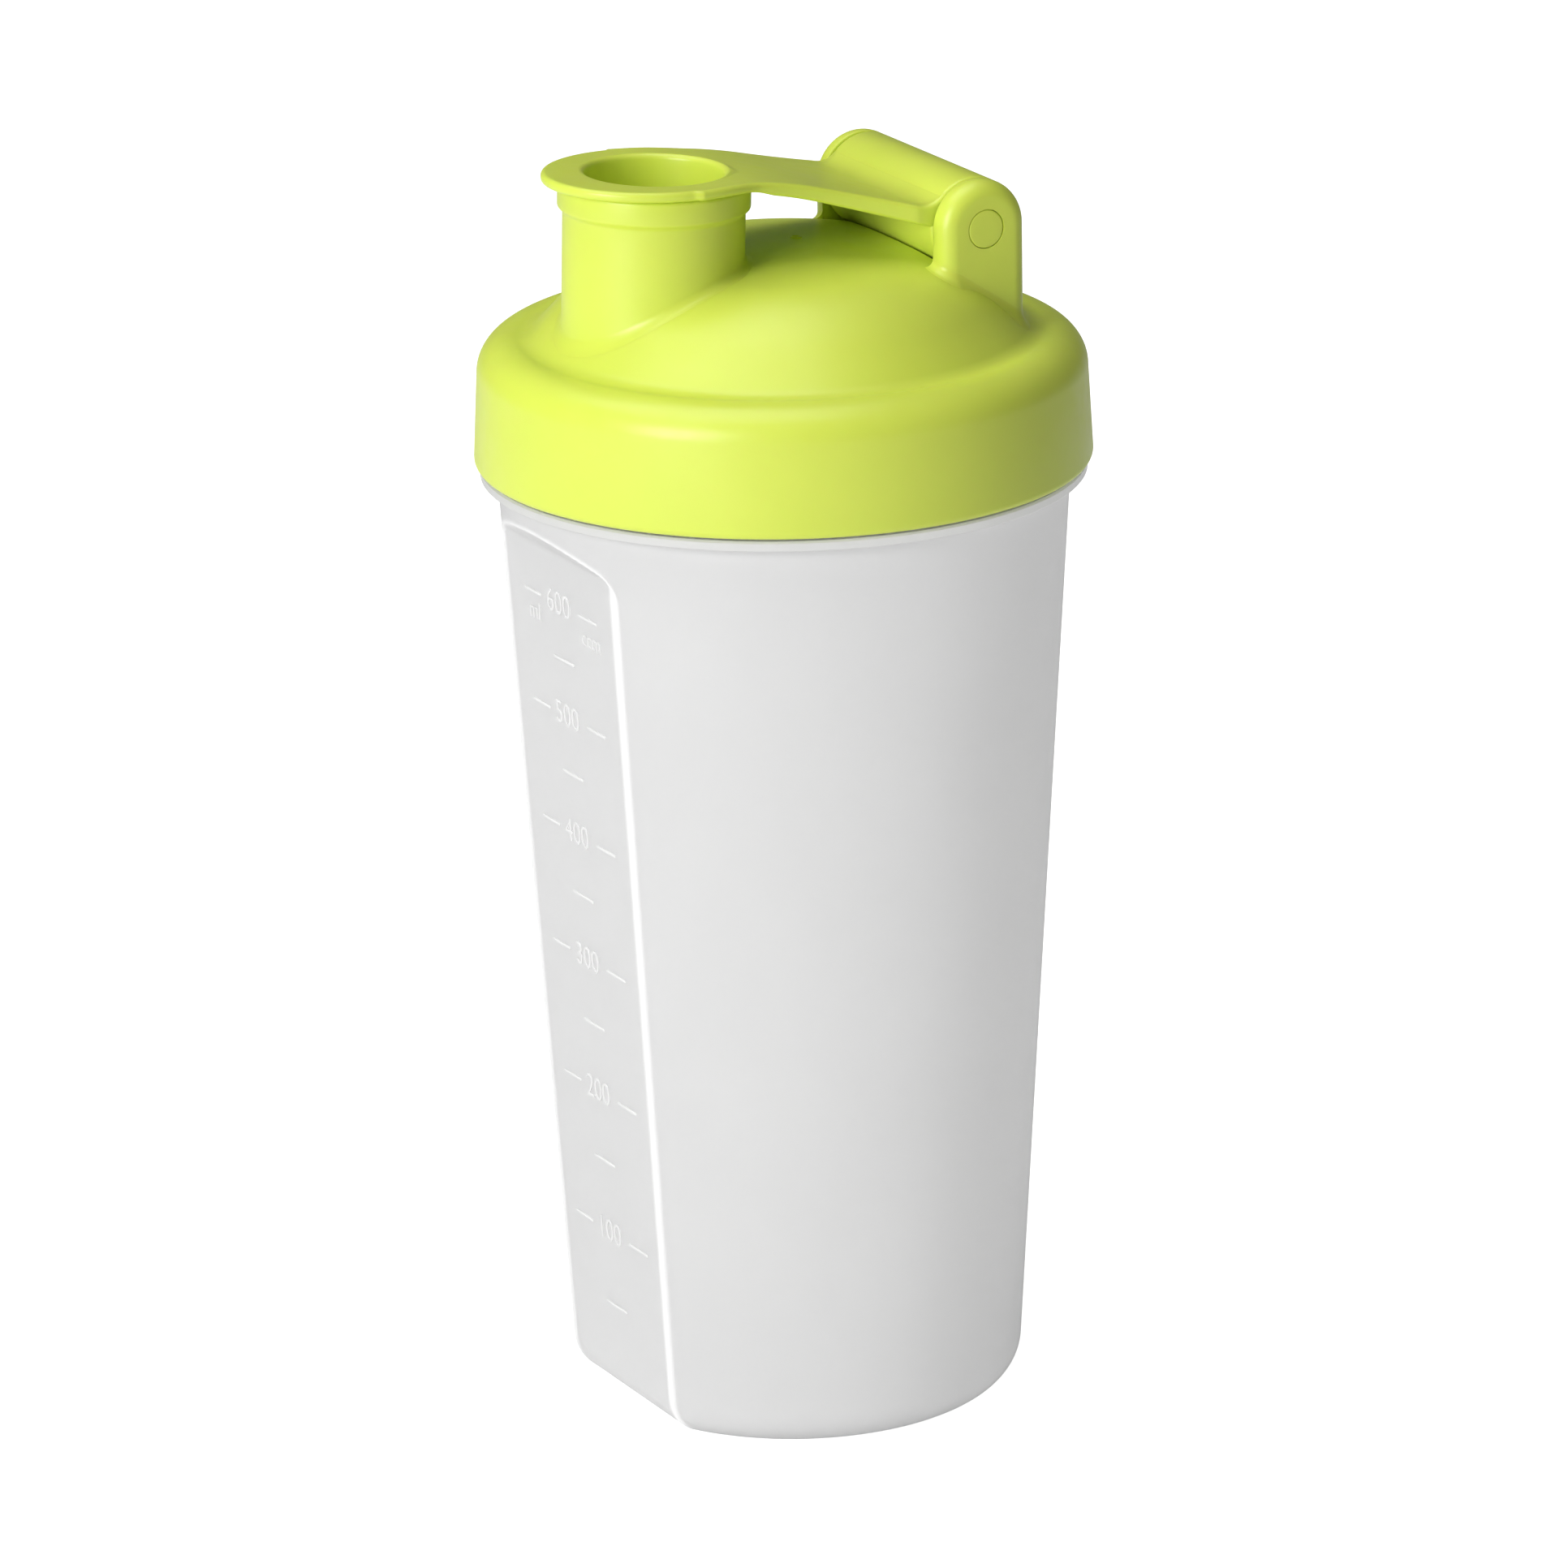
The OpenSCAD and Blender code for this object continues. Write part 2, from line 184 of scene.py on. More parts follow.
def add_grain(nodes, links, shader, coords, grain, grain_depth):
    """Fine moulding grain over faint, wide sink marks."""
    sink, sink_depth = 120, 0.00004
    sinks = nodes.new("ShaderNodeBump")
    sinks.inputs["Strength"].default_value = 0.35
    sinks.inputs["Distance"].default_value = sink_depth
    links.new(noise_node(nodes, links, coords, sink, 1.0), sinks.inputs["Height"])
    bump = nodes.new("ShaderNodeBump")
    bump.inputs["Strength"].default_value = 0.5
    bump.inputs["Distance"].default_value = grain_depth
    links.new(noise_node(nodes, links, coords, grain, 4.0, 0.6), bump.inputs["Height"])
    links.new(sinks.outputs["Normal"], bump.inputs["Normal"])
    links.new(bump.outputs["Normal"], shader.inputs["Normal"])


# %% The moulded plastics
def mottled_color(nodes, links, coords, color, dark):
    """The plastic's colour, drifting slowly between two close tones."""
    tint = nodes.new("ShaderNodeMix")
    tint.data_type = "RGBA"
    tint.inputs["A"].default_value = (*color, 1)
    tint.inputs["B"].default_value = (*dark, 1)
    drift = noise_node(nodes, links, coords, 45, 4.0)
    links.new(ramp_node(nodes, links, drift, 0.0, 1.0), tint.inputs["Factor"])
    return tint.outputs["Result"]


def whiten_crease(nodes, links, shader, color, highlight_color, through):
    """Paints a highlight along the crease: where the crease attribute is 1 the colour is painted
    whiter, and the plastic lets no light through.
    """
    share = nodes.new("ShaderNodeAttribute")
    share.attribute_name = "crease_highlight"
    lift = nodes.new("ShaderNodeMix")
    lift.data_type = "RGBA"
    lift.inputs["B"].default_value = (*highlight_color, 1)
    links.new(share.outputs["Fac"], lift.inputs["Factor"])
    links.new(color, lift.inputs["A"])
    links.new(ramp_node(nodes, links, share.outputs["Fac"], through, 0.0, (0, 1)),
              shader.inputs["Transmission Weight"])
    return lift.outputs["Result"]


def wandering_roughness(nodes, links, coords, roughness):
    """Small spots that are rubbed smoother or duller, over wide patches."""
    spots = noise_node(nodes, links, coords, 160, 5.0, 0.65)
    patches = noise_node(nodes, links, coords, 22, 2.0)
    rubbed = nodes.new("ShaderNodeMath")
    rubbed.operation = "ADD"
    links.new(ramp_node(nodes, links, spots, roughness - 0.05, roughness + 0.07), rubbed.inputs[0])
    links.new(ramp_node(nodes, links, patches, 0.05, -0.03), rubbed.inputs[1])
    return rubbed.outputs["Value"]


def moulded_plastic(name, color, dark, roughness, scatter, scatter_radius,
                    grain=2600, grain_depth=0.000012, highlight_color=None, through=0.0):
    material, nodes, links, shader = new_material(name)
    coords = nodes.new("ShaderNodeTexCoord").outputs["Object"]
    shader.inputs["Transmission Weight"].default_value = through
    result = mottled_color(nodes, links, coords, color, dark)
    # The cup's crease gets a painted highlight: its colour is mixed towards a whiter tone there.
    if highlight_color:
        result = whiten_crease(nodes, links, shader, result, highlight_color, through)
    links.new(result, shader.inputs["Base Color"])
    links.new(wandering_roughness(nodes, links, coords, roughness), shader.inputs["Roughness"])
    shader.inputs["IOR"].default_value = 1.49
    shader.inputs["Subsurface Weight"].default_value = scatter
    shader.inputs["Subsurface Radius"].default_value = scatter_radius
    shader.inputs["Subsurface Scale"].default_value = 1.0
    add_grain(nodes, links, shader, coords, grain, grain_depth)
    return material


LIME = moulded_plastic("lime_plastic", (0.672, 0.782, 0.098), (0.642, 0.754, 0.087),
                       0.33, 0.15, (0.0010, 0.0018, 0.0003))
# The frosted cup's whiter crease tone is a painted highlight along the crease.
FROSTED = moulded_plastic("frosted_plastic", (0.912, 0.912, 0.91), (0.895, 0.895, 0.893),
                          0.40, 0.30, (0.006, 0.006, 0.006), grain=1900,
                          grain_depth=0.000016, highlight_color=(0.945, 0.945, 0.943), through=0.35)
MARKS = moulded_plastic("raised_marks", (0.86, 0.86, 0.855), (0.84, 0.84, 0.835),
                        0.40, 0.2, (0.005, 0.005, 0.005), grain=1900)
WHITE = moulded_plastic("white_plastic", (0.83, 0.83, 0.81), (0.80, 0.80, 0.78),
                        0.38, 0.2, (0.003, 0.003, 0.003))
SILICONE = moulded_plastic("white_silicone", (0.80, 0.80, 0.79), (0.76, 0.76, 0.75),
                           0.6, 0.4, (0.004, 0.004, 0.004), grain=1400, grain_depth=0.00002)


# %% [markdown]
# ## The cup
# The real cup is injection moulded: a cone with one flat side for the scale, where the
# flat meets the round in a soft crease. It could be a cone cut by a boolean, but that
# leaves a hard crease and odd faces. Here a ring of vertices is extruded upwards row by
# row, and each row is laid on the smallest of two radii, the cone's and the flat's,
# blended softly where they meet. The foot rounds in the same way on both.

# %% Where the wall is
CREASE_REACH = 0.55
BEAD_HEIGHT = 0.16
BEAD_HALF = 0.42
FLAT_SIDE = math.radians(60)


def wall_line(start, foot, floor, z):
    """Distance of the wall from the axis at height z, with its rounded foot."""
    lean = math.atan(WALL_SLOPE)
    centre = start + WALL_SLOPE * (floor + foot) - foot / math.cos(lean)
    if z - floor < foot * (1 - math.sin(lean)):
        return centre + math.sqrt(max(foot ** 2 - (floor + foot - z) ** 2, 0))
    return start + WALL_SLOPE * z


def over_panel(x, z):
    """How far a point lies above the rounded upper outline of the flat."""
    dx = abs(x) - PANEL_HALF
    dz = z - (PANEL_TOP - PANEL_CORNER)
    outside = math.hypot(max(dx, 0), max(dz, 0))
    return max(outside + min(max(dx, dz), 0) - PANEL_CORNER, 0) if dz > 0 else 0


def soft_min(a, b, reach):
    """The smaller of two values, rounded off where they come nearer than reach."""
    blend = max(reach - abs(a - b), 0) / reach
    return min(a, b) - blend * blend * reach / 4


def wall_radius(angle, z, inset=0.0, foot=FOOT, floor=0.0):
    """Radius of the wall in a direction, where angle 0 is the middle of the flat."""
    shift = inset / math.cos(math.atan(WALL_SLOPE))
    round_r = wall_line(WALL_START - shift, foot, floor, z)
    if abs(angle) > FLAT_SIDE:
        return round_r
    flat = wall_line(PANEL_START - shift, foot, floor, z)
    r = round_r
    for _ in range(4):
        r = min((flat + over_panel(r * math.sin(angle), z)) / math.cos(angle), round_r + 3)
    bead = max(1 - (abs(round_r - r) / BEAD_HALF) ** 2, 0) if inset == 0 else 0
    return soft_min(round_r, r, CREASE_REACH) + BEAD_HEIGHT * bead


# %% How near a place is to the crease, the mask of its painted highlight
CREASE_HALF = 0.6


def crease_share(x, y, z):
    """How near a point of the outer wall lies to the crease: 1 on it, 0 a little away. This masks
    the painted highlight along the crease.
    """
    angle = math.atan2(x, -y)
    if abs(angle) > FLAT_SIDE or z > COLLAR_Z - 1:
        return 0.0
    round_r = wall_line(WALL_START, FOOT, 0.0, z)
    flat = wall_line(PANEL_START, FOOT, 0.0, z)
    flat = (flat + over_panel(round_r * math.sin(angle), z)) / math.cos(angle)
    depth = WALL - 0.4
    r = math.hypot(x, y)
    if r < round_r - depth and r * math.cos(angle) < flat - depth:
        return 0.0
    return max(1 - abs(round_r - flat) / CREASE_HALF, 0) ** 0.7


# %% Extrude a wall, ring by ring
def column_angles(front=300, back=150):
    """Columns lie close together over the flat and wide apart behind it."""
    edge = math.radians(40)
    near = [-edge + 2 * edge * i / front for i in range(front)]
    far = [edge + (math.tau - 2 * edge) * i / back for i in range(back)]
    return near + far


ANGLES = column_angles()


def lay_row(verts, column, z, radius):
    """Puts a row's vertices at height z, each at the radius of its own column."""
    for v in verts:
        angle = ANGLES[v[column]]
        r = radius(angle)
        v.co = (r * math.sin(angle), -r * math.cos(angle), z)


def numbered_circle(bm, column, count):
    """A circle whose vertices know their column, and its edges."""
    made = bmesh.ops.create_circle(bm, segments=count, radius=1.0)["verts"]
    for index, v in enumerate(made):
        v[column] = index
    return made, list({e for v in made for e in v.link_edges})


def extrude_rim(bm, edges):
    """Extrudes an open rim and gives the new vertices and the new rim."""
    made = bmesh.ops.extrude_edge_only(bm, edges=edges)["geom"]
    verts = [g for g in made if isinstance(g, bmesh.types.BMVert)]
    rim = [g for g in made if isinstance(g, bmesh.types.BMEdge) and len(g.link_faces) == 1]
    return verts, rim


def frange(start, stop, steps):
    return [start + (stop - start) * i / steps for i in range(steps + 1)]


# %% The rows of the cup
def neck_rows():
    """Heights and radii from the collar over the neck's rim and down inside it."""
    flange, bead, inside = COLLAR_Z + 1.6, 0.3, NECK_R - 1.6
    return [(COLLAR_Z, COLLAR_R - 0.15), (COLLAR_Z + 0.15, COLLAR_R),
            (flange - bead, COLLAR_R), (flange, COLLAR_R - bead),
            (flange, NECK_R + bead), (flange + bead, NECK_R),
            (RIM_Z - 0.5, NECK_R), (RIM_Z - 0.1, NECK_R - 0.2), (RIM_Z, NECK_R - 0.5),
            (RIM_Z, NECK_R - 1.1), (RIM_Z - 0.1, NECK_R - 1.4), (RIM_Z - 0.5, inside),
            (COLLAR_Z + 2, inside)]


def foot_heights(foot, start, end, steps):
    """Heights on the rounded foot, evenly spread over its arc."""
    return [foot * (1 - math.cos(math.radians(t))) for t in frange(start, end, steps)]


def cup_rows():
    """Every row of the cup, from the middle of the base outside to the middle inside."""
    base = [(1.0, 4), (1.0, 14), (1.0, 20.6), (0.75, 21.6), (0.15, 21.95), (0.0, 22.3)]
    rows = [(z, lambda a, r=r: r) for z, r in base]
    outer = foot_heights(FOOT, 2, 86, 14) + frange(8.5, 134, 30) + frange(136, 149.5, 34)
    rows += [(z, lambda a, z=z: wall_radius(a, z)) for z in outer]
    rows += [(COLLAR_Z, lambda a: WALL_START + WALL_SLOPE * COLLAR_Z)]
    rows += [(z, lambda a, r=r: r) for z, r in neck_rows()]
    inner_foot = FOOT - WALL
    inner = frange(149.5, 136, 26) + frange(134, 10, 16)
    inner += [FLOOR + z for z in foot_heights(inner_foot, 86, 4, 10)]
    rows += [(z, lambda a, z=z: wall_radius(a, z, WALL, inner_foot, FLOOR)) for z in inner]
    return rows + [(FLOOR, lambda a, r=r: r) for r in (21, 12, 4)]


# %% Build the cup's shell
THREAD_LEAD = 6.0
THREAD_TURNS = 1.4
THREAD_START = math.radians(11)


def wind_thread(bm, root, tip, z, steps_a_turn=72):
    """A ridge that winds up a cylinder: a small outline is spun and lifted at once."""
    sink = -0.5 if root < tip else 0.5
    a = THREAD_START
    outline = [(root + sink, -1.3), (tip, -0.6), (tip, 0.6), (root + sink, 1.3)]
    verts = [bm.verts.new((r * math.cos(a), r * math.sin(a), z + h)) for r, h in outline]
    face = bm.faces.new(verts)
    result = bmesh.ops.spin(bm, geom=[face], cent=(0, 0, 0), axis=(0, 0, 1),
                            dvec=(0, 0, THREAD_LEAD / steps_a_turn),
                            angle=math.tau * THREAD_TURNS,
                            steps=round(THREAD_TURNS * steps_a_turn),
                            use_merge=False, use_duplicate=False)
    ends = [v for g in result["geom_last"] if isinstance(g, bmesh.types.BMFace)
            for v in g.verts]
    for v in verts + ends:
        keep = (root + sink * 0.4) / math.hypot(v.co.x, v.co.y)
        v.co.x *= keep
        v.co.y *= keep


def build_cup():
    bm = bmesh.new()
    column = bm.verts.layers.int.new("column")
    rows = cup_rows()
    verts, rim = numbered_circle(bm, column, len(ANGLES))
    lay_row(verts, column, *rows[0])
    bmesh.ops.contextual_create(bm, geom=verts)
    for z, radius in rows[1:]:
        verts, rim = extrude_rim(bm, rim)
        lay_row(verts, column, z, radius)
    bmesh.ops.contextual_create(bm, geom=verts)
    wind_thread(bm, NECK_R, 45.5, 157.5)
    return bm


cup = finish_piece(build_cup(), "cup_wall", "cup", FROSTED, "cup", corner=38)
# This attribute masks the painted highlight that the frosted plastic puts along the crease.
crease_highlight = cup.data.attributes.new("crease_highlight", "FLOAT", "POINT")
for index, v in enumerate(cup.data.vertices):
    crease_highlight.data[index].value = crease_share(*(v.co / MM))
print("columns on the crease:", sum(item.value > 0.5 for item in crease_highlight.data))

# %% [markdown]
# ## The volume scale
# The marks stand proud of the flat by a hair, cut into the mould. Each height comes
# from the volume of the cone below it, so the steps get closer as the cup gets wider.
# The figures and the two unit signs are plain lettering turned into thin ridges.

# %% Heights of the marks
INNER_START = WALL_START - WALL / math.cos(math.atan(WALL_SLOPE))


def volume_under(z):
    return (INNER_START + WALL_SLOPE * z) ** 3 / (3 * WALL_SLOPE)


def mark_height(ml, base_ml=50, base_z=17.1):
    target = volume_under(base_z) + (ml - base_ml) * 1000 / math.pi
    return ((3 * WALL_SLOPE * target) ** (1 / 3) - INNER_START) / WALL_SLOPE


for ml in (100, 600):
    print(f"{ml} ml mark at {mark_height(ml):.1f} mm")


# %% Ticks, figures and units on the flat
CAPITAL_SHARE = 0.72  # how tall a figure is, as a share of the letter size


def panel_matrix(x, z):
    """Places something drawn in the XY plane on the flat, at x and height z."""
    y = -(PANEL_START + WALL_SLOPE * z)
    tilt = math.pi / 2 + math.atan(WALL_SLOPE)
    return Matrix.Translation((x, y, z)) @ Matrix.Rotation(tilt, 4, "X")


def add_tick(bm, x0, x1, z, width=0.5, height=0.15):
    """A ridge with rounded edges, sunk as deep into the wall as it stands proud."""
    part = bmesh.new()
    bmesh.ops.create_cube(part, size=1.0)
    bmesh.ops.scale(part, vec=(x1 - x0, width, height * 2), verts=part.verts)
    bmesh.ops.bevel(part, geom=part.edges[:], offset=0.12, segments=3, profile=0.5,
                    affect="EDGES", material=-1)
    mesh = bpy.data.meshes.new("tick")
    part.to_mesh(mesh)
    part.free()
    mesh.transform(panel_matrix((x0 + x1) / 2, z))
    bm.from_mesh(mesh)
    bpy.data.meshes.remove(mesh)


def add_ticks(bm):
    """A pair of ticks beside each figure, and one in the middle at each half step."""
    for ml in range(50, 601, 50):
        spans = [(-3.5, 3.3)] if ml % 100 else [(-12.2, -6.5), (6.3, 12.5)]
        for x0, x1 in spans:
            add_tick(bm, x0, x1, mark_height(ml))


def add_lettering(bm, words, x, z, height, stroke=0.0):
    """Plain figures as a thin ridge, centred on x and z."""
    curve = bpy.data.curves.new("lettering", "FONT")
    curve.body = words
    curve.align_x = "CENTER"
    curve.align_y = "CENTER"
    curve.size = height / CAPITAL_SHARE
    curve.extrude = 0.13
    curve.offset = stroke
    curve.resolution_u = 6
    text = bpy.data.objects.new("lettering", curve)
    bpy.context.scene.collection.objects.link(text)
    graph = bpy.context.evaluated_depsgraph_get()
    mesh = bpy.data.meshes.new_from_object(text.evaluated_get(graph))
    bpy.data.objects.remove(text)
    bpy.data.curves.remove(curve)
    mesh.transform(panel_matrix(x, z))
    bm.from_mesh(mesh)
    bpy.data.meshes.remove(mesh)


scale_bm = bmesh.new()
add_ticks(scale_bm)
for ml in range(100, 601, 100):
    add_lettering(scale_bm, str(ml), -0.5, mark_height(ml), 3.9, -0.04)
add_lettering(scale_bm, "ml", -9.0, mark_height(600) - 3.2, 3.0, -0.03)
add_lettering(scale_bm, "ccm", 10.2, mark_height(600) - 3.4, 2.9, -0.03)
scale = finish_piece(scale_bm, "volume_scale", "cup", MARKS, corner=30)

# %% [markdown]
# ## The screw lid
# The lid is one moulding: a skirt, a rounded shoulder, a dome, a spout and two hinge
# cheeks. The round part is spun from its outline. The spout leans a little, so it is
# spun in its own frame, and its foot is laid down on the dome with a small hollow
# fillet, as the mould leaves it. The cheeks are extruded and rounded, and get the same
# fillet round their feet.

# %% The dome's surface
CROWN_R = 150.0
FLANK_R = 22.0
CROWN_END = 8.0
FLANK_END = 47.0
DOME_TOP = 187.1
DOME_T = 1.8
FLANK_X = (CROWN_R - FLANK_R) * math.sin(math.radians(CROWN_END))
FLANK_Z = DOME_TOP - CROWN_R + (CROWN_R - FLANK_R) * math.cos(math.radians(CROWN_END))


def dome_arc(inset):
    """The dome's outline from its flank to its top, or that of its underside."""
    return (arc(FLANK_X, FLANK_Z, FLANK_R - inset, 90 - FLANK_END, 90 - CROWN_END, 14)
            + arc(0, DOME_TOP - CROWN_R, CROWN_R - inset, 90 - CROWN_END, 90, 8)[1:])


def dome_height(x, y):
    """Height of the dome above a place, also a little way down its straight flank."""
    r = math.hypot(x, y)
    if r < CROWN_R * math.sin(math.radians(CROWN_END)):
        return DOME_TOP - CROWN_R + math.sqrt(CROWN_R ** 2 - r ** 2)
    end = math.radians(FLANK_END)
    flank_edge = FLANK_X + FLANK_R * math.sin(end)
    if r < flank_edge:
        return FLANK_Z + math.sqrt(FLANK_R ** 2 - (r - FLANK_X) ** 2)
    return FLANK_Z + FLANK_R * math.cos(end) - (r - flank_edge) * math.tan(end)


# %% Spin the skirt, shoulder and dome
def soft_corner(before, corner, after, r, steps=6):
    """Points that round an outline's corner, from one side to the other."""
    corner = Vector(corner)
    p = corner + (Vector(before) - corner).normalized() * r
    q = corner + (Vector(after) - corner).normalized() * r
    return [tuple(p.lerp(corner, t).lerp(corner.lerp(q, t), t)) for t in frange(0, 1, steps)]


SKIRT_IN = 46.3
SKIRT_FOOT = 153.0
CEILING = 171.2
VALLEY = (39.47, 172.88)
VALLEY_REACH = 1.83


def lid_outline():
    """The lid's section: foot, skirt, shoulder, valley and dome, then back inside."""
    shoulder = arc(41.9, 167.4, 5.7, 0, 96, 20)
    dome = dome_arc(0)
    outside = ([(46.9, SKIRT_FOOT + 0.05), (47.2, SKIRT_FOOT)]
               + arc(47.2, SKIRT_FOOT + 1.1, 1.1, -90, 0, 6)[1:] + shoulder
               + soft_corner(shoulder[-1], VALLEY, dome[0], VALLEY_REACH, 10) + dome)
    gasket_seat = [(44.75, 169.8), (44.75, 171.0), (44.5, CEILING), (38.8, CEILING)]
    inside = gasket_seat + dome_arc(DOME_T)
    foot = [(SKIRT_IN, 168.4), (SKIRT_IN, SKIRT_FOOT + 0.7), (46.6, SKIRT_FOOT + 0.15)]
    return outside + list(reversed(inside)) + foot


def snap_ring_outline():
    """The inner ring that the strainer snaps on to."""
    low, high, soft = 164.5, CEILING + 0.2, 0.2
    r, outer = 40.4, 41.8
    return [(r, low + soft), (r + soft, low), (outer - soft, low), (outer, low + soft),
            (outer, high), (r, high)]


def build_lid_shell():
    bm = bmesh.new()
    spin_profile(bm, lid_outline(), 256)
    return bm


def add_inner_parts(piece):
    """Joins the snap ring and the thread to the bored shell. They overlap its wall, so
    they would spoil a boolean."""
    bm = bmesh.new()
    spin_profile(bm, snap_ring_outline(), 128)
    wind_thread(bm, SKIRT_IN, 45.0, 155.66)
    mesh = clean_mesh(bm, "inner_parts", 35)
    whole = bmesh.new()
    whole.from_mesh(piece.data)
    whole.from_mesh(mesh)
    whole.to_mesh(piece.data)
    whole.free()
    bpy.data.meshes.remove(mesh)


def cut_hole(piece, radius, low, high, matrix):
    """Bores a piece from low to high on the Z axis of matrix, and closes stray cracks."""
    bm = bmesh.new()
    bmesh.ops.create_cone(bm, cap_ends=True, segments=96, radius1=radius, radius2=radius,
                          depth=high - low)
    bmesh.ops.translate(bm, vec=(0, 0, (high + low) / 2), verts=bm.verts)
    bmesh.ops.transform(bm, matrix=matrix, verts=bm.verts)
    bmesh.ops.scale(bm, vec=(MM, MM, MM), verts=bm.verts)
    mesh = bpy.data.meshes.new("cutter")
    bm.to_mesh(mesh)
    bm.free()
    cutter = bpy.data.objects.new("cutter", mesh)
    bpy.context.scene.collection.objects.link(cutter)
    modifier = piece.modifiers.new("hole", "BOOLEAN")
    modifier.object = cutter
    modifier.operation = "DIFFERENCE"
    modifier.solver = "EXACT"
    graph = bpy.context.evaluated_depsgraph_get()
    mesh = bpy.data.meshes.new_from_object(piece.evaluated_get(graph))
    piece.modifiers.clear()
    bm = bmesh.new()
    bm.from_mesh(mesh)
    bmesh.ops.remove_doubles(bm, verts=bm.verts, dist=0.001 * MM)
    cracks = [e for e in bm.edges if len(e.link_faces) == 1]
    bmesh.ops.holes_fill(bm, edges=cracks, sides=8)
    bm.to_mesh(mesh)
    bm.free()
    old, piece.data = piece.data, mesh
    bpy.data.meshes.remove(old)
    bpy.data.objects.remove(cutter)


SPOUT_FRAME = Matrix.Translation(SPOUT) @ Matrix.Rotation(-SPOUT_LEAN, 4, "X")
lid = finish_piece(build_lid_shell(), "lid_shell", "lid", LIME, "screw_lid",
                   corner=35)
cut_hole(lid, BORE_R + 0.9, -40, 20, SPOUT_FRAME)


# %% The spout, laid down on the dome
SHAFT_END = -3.0
BORE_END = -6.0


def settle_on_dome(r, angle, lift):
    """The point at radius r from the spout's axis that lies lift above the dome."""
    z = -14.0
    for _ in range(6):
        p = SPOUT_FRAME @ Vector((r * math.cos(angle), r * math.sin(angle), z))
        z += dome_height(p.x, p.y) + lift - p.z
    return p


def lay_rows_on_dome(bm, edges, rows):
    """Extrudes an open rim through rows of (radius, lift above the dome)."""
    inverse = SPOUT_FRAME.inverted()
    for r, lift in rows:
        verts, edges = extrude_rim(bm, edges)
        for v in verts:
            local = inverse @ v.co
            v.co = settle_on_dome(r, math.atan2(local.y, local.x), lift)
    return edges


def hollow_rows(start, fillet, steps=8):
    """Rows of (distance, lift) over a hollow fillet that ends a little inside the dome."""
    turns = [math.radians(t) for t in frange(0, 84, steps)]
    return ([(start + fillet * (1 - math.cos(t)), fillet * (1 - math.sin(t))) for t in turns]
            + [(start + fillet + 0.4, -0.25)])


def spout_outline():
    """The tube in its own frame: bore, rounded lip and the step down to the shaft."""
    lip, shaft = (LIP_R, 0.0), (SPOUT_R, -0.8)
    return ([(BORE_R, BORE_END)]
            + arc(BORE_R + 0.5, LIP_H - 0.5, 0.5, 180, 90, 5)
            + arc(LIP_R - 0.7, LIP_H - 0.7, 0.7, 90, 0, 6)
            + soft_corner((LIP_R, 2), lip, shaft, 0.25, 3)
            + soft_corner(lip, shaft, (SPOUT_R, SHAFT_END), 0.3, 3)
            + [(SPOUT_R, SHAFT_END)])


def open_rim(bm, z):
    return [e for e in bm.edges
            if len(e.link_faces) == 1 and all(abs(v.co.z - z) < 0.01 for v in e.verts)]


def build_spout(segments=192, fillet=1.3):
    bm = bmesh.new()
    spin_profile(bm, spout_outline(), segments, closed=False)
    bmesh.ops.remove_doubles(bm, verts=bm.verts, dist=0.002)
    shaft, bore = open_rim(bm, SHAFT_END), open_rim(bm, BORE_END)
    bmesh.ops.transform(bm, matrix=SPOUT_FRAME, verts=bm.verts)
    foot = [(SPOUT_R, fillet + 3)] + hollow_rows(SPOUT_R, fillet)
    underside = -DOME_T - 0.03
    mouth = [(BORE_R, -DOME_T + 0.3), (BORE_R + 0.3, underside), (BORE_R + 1.6, underside)]
    outer = lay_rows_on_dome(bm, shaft, foot)
    inner = lay_rows_on_dome(bm, bore, mouth)
    bmesh.ops.bridge_loops(bm, edges=outer + inner)
    return bm


finish_piece(build_spout(), "drinking_spout", "lid", LIME, corner=50)


# %% The hinge cheeks
WEB_DROP = 5.1
WEB_TOP = HINGE.z - WEB_DROP
TOWER_FOOT = 174.0
EDGE_R = 2.6


def sink_feet(bm, level):
    """Ends whatever stands on the dome in the middle of the dome's wall."""
    for v in bm.verts:
        if v.co.z < level:
            v.co.z = dome_height(v.co.x, v.co.y) - 1.0


def build_cheek(side):
    """One cheek: upright edges and a round head, pushed out sideways, then rounded."""
    bm = bmesh.new()
    back, front = HINGE.y + BARREL_R, HINGE.y - BARREL_R
    head = arc(HINGE.y, HINGE.z, BARREL_R, 0, 180, 36)
    outline = [(back, TOWER_FOOT), (back, WEB_TOP + 0.6)] + head + [(front, TOWER_FOOT)]
    face = bm.faces.new([bm.verts.new((side * CHEEK_IN, y, z)) for y, z in outline])
    made = bmesh.ops.extrude_face_region(bm, geom=[face])["geom"]
    moved = [g for g in made if isinstance(g, bmesh.types.BMVert)]
    bmesh.ops.translate(bm, vec=(side * (CHEEK_OUT - CHEEK_IN), 0, 0), verts=moved)
    foot = TOWER_FOOT + 0.01
    outer = [e for e in bm.edges if all(abs(v.co.x) > CHEEK_OUT - 0.01 for v in e.verts)
             and max(v.co.z for v in e.verts) > foot]
    bmesh.ops.bevel(bm, geom=outer, offset=EDGE_R, segments=10, profile=0.5,
                    affect="EDGES", material=-1)
    inner = [e for e in bm.edges if all(abs(v.co.x) < CHEEK_IN + 0.01 for v in e.verts)
             and min(v.co.z for v in e.verts) > WEB_TOP]
    bmesh.ops.bevel(bm, geom=inner, offset=0.3, segments=3, profile=0.5,
                    affect="EDGES", material=-1)
    sink_feet(bm, foot)
    return bm


HINGE_FRAME = Matrix.Translation(HINGE) @ Matrix.Rotation(math.pi / 2, 4, "Y")
for side, name in ((1, "near_cheek"), (-1, "far_cheek")):
    cheek = finish_piece(build_cheek(side), name, "lid", LIME, corner=50)
    cut_hole(cheek, PIN_R + 0.07, -30, 30, HINGE_FRAME)


